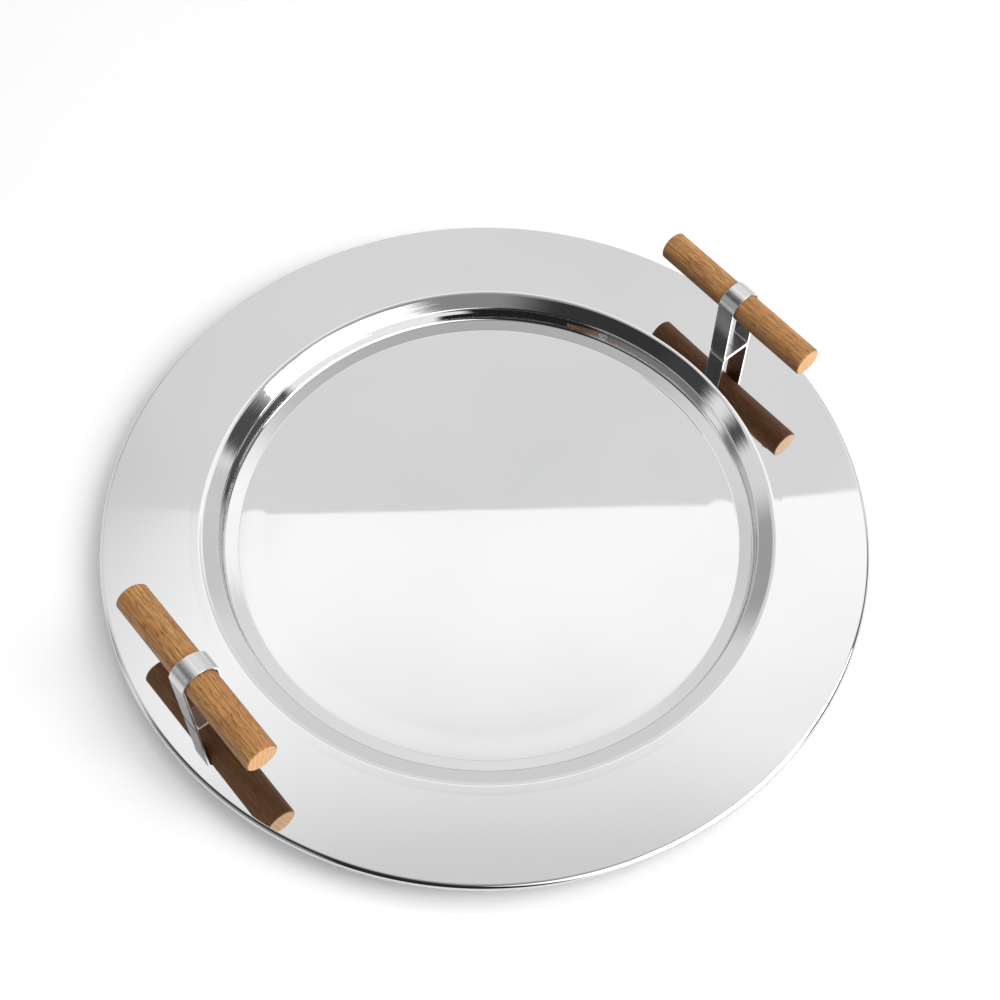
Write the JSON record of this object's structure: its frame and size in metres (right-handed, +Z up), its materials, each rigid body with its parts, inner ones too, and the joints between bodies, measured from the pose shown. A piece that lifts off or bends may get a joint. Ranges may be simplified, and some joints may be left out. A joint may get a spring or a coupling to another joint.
{
  "type": "serving tray",
  "caption": "Round polished steel serving tray with a wide rim, a shallow well and raised wooden bar handles held in bent metal straps.",
  "frame": {"origin": "centre of the flat underside of the well, where the tray stands on a table", "axes": "+Z up; the two handles stand on +X (right) and -X (left), and both grips run along Y"},
  "size_m": [0.4, 0.4, 0.0647],
  "materials": {
    "polished_pan": "polished",
    "satin_strap": "satin",
    "beech_grip": "satin",
    "plain_fixings": "satin"
  },
  "bodies": {
    "root": {"tray_pan": "polished_pan", "right_handle_strap": "satin_strap", "right_wood_grip": "beech_grip", "right_grip_pin": "plain_fixings", "right_inner_stud": "plain_fixings", "right_inner_washer": "plain_fixings", "right_inner_nut": "plain_fixings", "right_outer_stud": "plain_fixings", "right_outer_washer": "plain_fixings", "right_outer_nut": "plain_fixings", "left_handle_strap": "satin_strap", "left_wood_grip": "beech_grip", "left_grip_pin": "plain_fixings", "left_inner_stud": "plain_fixings", "left_inner_washer": "plain_fixings", "left_inner_nut": "plain_fixings", "left_outer_stud": "plain_fixings", "left_outer_washer": "plain_fixings", "left_outer_nut": "plain_fixings"}
  },
  "joints": []
}
